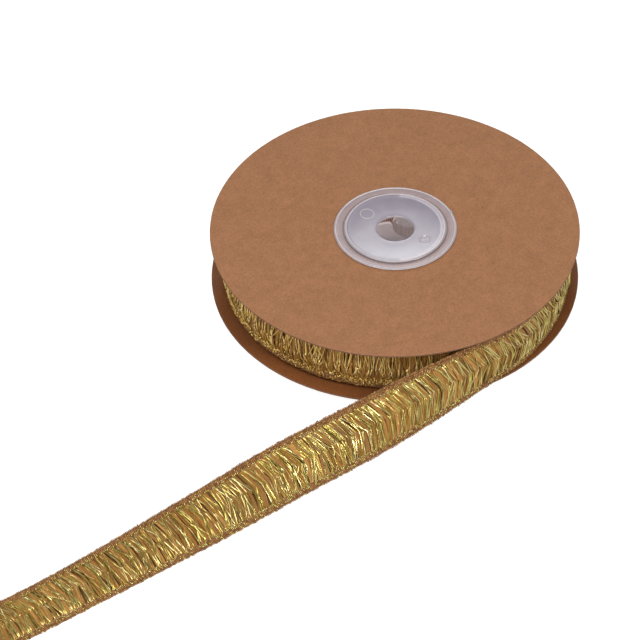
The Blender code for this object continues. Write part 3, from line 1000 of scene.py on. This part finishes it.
CAMERA_DISTANCE = 1.14736
CAMERA_AZIMUTH, CAMERA_ELEVATION = -34.8, 42.63  # degrees; azimuth 0 looks along +Y
CAMERA_PAN, CAMERA_TILT, CAMERA_ROLL = 1.02, -0.62, 0.08  # degrees off the reel's axis
CAMERA_LENS, CAMERA_SENSOR = 236.25, 36.0  # in mm
AIM_LEVEL = 1.3 * MM
# Columns: name, azimuth and elevation as seen from the object, distance, size, power in watts.
LAMPS = (
    ("overhead_softbox", -70.0, 76.0, 1.3, 1.1, 13.4),  # lights everything, from the left
    ("back_softbox", 145.0, 33.0, 1.4, 0.34, 3.1),  # mirrored by the hub's plate and flat strips
    ("front_softbox", -65.0, 40.0, 0.4, 0.25, 0.5),  # on the end's left
    ("right_softbox", 12.0, 42.0, 1.2, 0.3, 6.6),  # on the strips beside the reel
    ("low_front_softbox", -32.0, 12.0, 1.2, 0.3, 1.4),  # in under the upper card
    ("low_right_softbox", 14.0, 14.0, 1.2, 0.22, 1.3),  # the same from the right
)
WALLS = ((0.0, "#A8A8A8"), (0.4, "#B4B4B4"), (0.8, "#B4B4B4"))  # from the floor up
WALLS_STRENGTH = 0.5
FLOOR_HALF = 6.0


def towards(azimuth, elevation):
    """The way back from the object to something seen at that azimuth and elevation."""
    a, e = math.radians(azimuth), math.radians(elevation)
    return Vector((math.sin(a) * math.cos(e), -math.cos(a) * math.cos(e), math.sin(e)))


def add_camera():
    data = bpy.data.cameras.new("photo_camera")
    data.lens, data.sensor_width = CAMERA_LENS, CAMERA_SENSOR
    data.clip_start, data.clip_end = 0.01, 100.0
    camera = into_scene("photo_camera", data)
    back = towards(CAMERA_AZIMUTH, CAMERA_ELEVATION)
    stand = Matrix.Translation(Vector((REEL[0], REEL[1], AIM_LEVEL)) + back * CAMERA_DISTANCE)
    stand = stand @ (-back).to_track_quat("-Z", "Y").to_matrix().to_4x4()
    for degrees, axis in ((CAMERA_PAN, "Y"), (CAMERA_TILT, "X"), (-CAMERA_ROLL, "Z")):
        stand = stand @ Matrix.Rotation(math.radians(degrees), 4, axis)
    camera.matrix_world = stand
    bpy.context.scene.camera = camera


def add_lamp(name, azimuth, elevation, distance, size, power):
    data = bpy.data.lights.new(name, "AREA")
    data.shape, data.size, data.energy = "DISK", size, power
    lamp = into_scene(name, data)
    back = towards(azimuth, elevation)
    lamp.location = Vector((REEL[0] / 2, 0, 0)) + back * distance
    lamp.rotation_mode = "QUATERNION"
    lamp.rotation_quaternion = (-back).to_track_quat("-Z", "Y")


def add_studio():
    """A large soft lamp overhead, five smaller ones around, and pale grey walls."""
    for lamp in LAMPS:
        add_lamp(*lamp)
    world = bpy.data.worlds.new("studio_walls")
    bpy.context.scene.world = world
    world.use_nodes = True
    tree = world.node_tree
    up = put(tree, "SeparateXYZ", None, {"Vector": put(tree, "TexCoord")["Generated"]})["Z"]
    shade = put(tree, "ValToRGB", None, {"Fac": up}, WALLS)["Color"]
    tree.links.new(shade, tree.nodes["Background"].inputs["Color"])
    tree.nodes["Background"].inputs["Strength"].default_value = WALLS_STRENGTH
    bpy.context.scene.view_settings.view_transform = "Standard"


def add_floor():
    data = bpy.data.meshes.new("floor")
    corners = [(x * FLOOR_HALF, y * FLOOR_HALF, 0) for x, y in ((-1, -1), (1, -1), (1, 1), (-1, 1))]
    data.from_pydata(corners, [], [(0, 1, 2, 3)])
    data.materials.append(paper_sweep())
    floor = into_scene("floor", data)


# The pieces put together

SMOOTH = 180  # the angle in degrees under which the round yarns are shaded smooth
# Columns: pitch, narrowest, share lying over the strips, rise of the arch, dip at the kink.
WOUND_RIBBONS = (0.68 * MM, 0.50 * MM, 0.30, 0.45 * MM, 0.1)
END_RIBBONS = (0.64 * MM, 0.66 * MM, 0.14, 0.36 * MM, 0.35)
WOUND_STRIPS, END_STRIPS = (0.34 * MM, 0.62 * MM), (0.28 * MM, 0.36 * MM)  # pitch, rise
BACK_RIBBONS, BACK_STRIPS = (0.85 * MM, 0.9 * MM), (1.3 * MM, 0.28 * MM)  # pitch, width


def add_trim(name, parts, material, **how):
    return add_piece(name, parts, [material], "lurex_trim", **how)


def build_winding(ribbon, film, yarn, ground, painted_light_yarn):
    """The wound trim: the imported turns, the innermost one and the strands of the outer one."""
    course = wound_course()
    chance = np.random.default_rng(41)
    body = add_trim("wound_turns", [turns_part()], ground, tidy_normals=True)
    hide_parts("trim_winding")
    add_trim("wound_inner_turn", [inner_part()], painted_light_yarn, tidy_normals=True)
    add_trim("wound_ground", [ground_part(course, chance, WOUND_FOOT)], ground)
    ribbons = ribbon_part(course, chance, wound_leans, *WOUND_RIBBONS)
    add_trim("wound_ribbons", [ribbons], ribbon)
    add_trim("wound_strips", strip_parts(course, chance, wound_leans, *WOUND_STRIPS), film)
    spun, metallic = stitch_parts(course, chance, WOUND_FOOT)
    add_trim("wound_selvedges", spun, yarn, sharp=SMOOTH)
    add_trim("wound_selvedge_lurex", metallic, film, sharp=SMOOTH)


def build_end(ribbon, film, yarn, ground):
    """The loose turn and the free end: the ground is the sheet that the strands lie on."""
    course = end_course()
    chance = np.random.default_rng(17)
    sheet = add_trim("end_ground", [ground_part(course, chance)], ground)
    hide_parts("trim_end")
    ribbons = ribbon_part(course, chance, end_leans, *END_RIBBONS)
    on_it = [
        add_trim("end_ribbons", [ribbons], ribbon),
        add_trim("end_strips", strip_parts(course, chance, end_leans, *END_STRIPS), film),
        add_trim("end_back_ribbons", [back_part(course, chance, *BACK_RIBBONS)], ribbon),
        add_trim("end_back_strips", [back_part(course, chance, *BACK_STRIPS)], film),
    ]
    spun, metallic = stitch_parts(course, chance)
    on_it += [
        add_trim("end_selvedges", spun, yarn, sharp=SMOOTH),
        add_trim("end_selvedge_lurex", metallic, film, sharp=SMOOTH),
    ]


def main():
    add_camera()
    add_studio()
    add_floor()
    liner = kraft_liner("kraft_liner_calendered", "#7C5230", "#875A38")
    # The lower disc has a darker, redder copy of the liner: painted shade, as it lies under the
    # upper disc and the winding.
    inside = kraft_liner("kraft_liner_painted_shade", "#63360F", "#6D3C12")
    edge = kraft_edge()
    build_disc("kraft_disc_upper", UPPER_CARD_LEVEL, "card_upper", [liner, edge])
    build_disc("kraft_disc_lower", LOWER_CARD_LEVEL, "card_lower", [inside, edge])
    build_hub()
    # The wound length has its own copies of the ribbon and the film, tuned to the light it gets:
    # the ribbon painted a shade browner as shade, the film painted a warmer, brighter gold as
    # painted light.
    ribbon = rayon_ribbon("rayon_flat_ribbon", "#7C5426", "#92662E", "#A87A40")
    film = slit_film("metallised_film_slit", "#AA943C", "#B6A656", "#BEB07C")
    tones = ("#7D5322", "#90622B", "#A67336")
    wound_ribbon = rayon_ribbon("rayon_flat_ribbon_wound_painted_shade", *tones)
    tones = ("#AE8A36", "#C9A650", "#DEC682")
    wound_film = slit_film("metallised_film_slit_wound_painted_light", *tones)
    yarn = spun_yarn("polyester_selvedge_yarn_spun", "#6E4822", "#A67A4C")
    ground = packed_weft()
    # The innermost turn's yarn is painted pale: painted light, where it shows in the shade inside
    # the hub.
    painted_light_yarn = spun_yarn("rayon_inner_turn_spun_painted_light", "#C8B0A4", "#F0D8CC")
    build_winding(wound_ribbon, wound_film, yarn, ground, painted_light_yarn)
    build_end(ribbon, film, yarn, ground)


main()
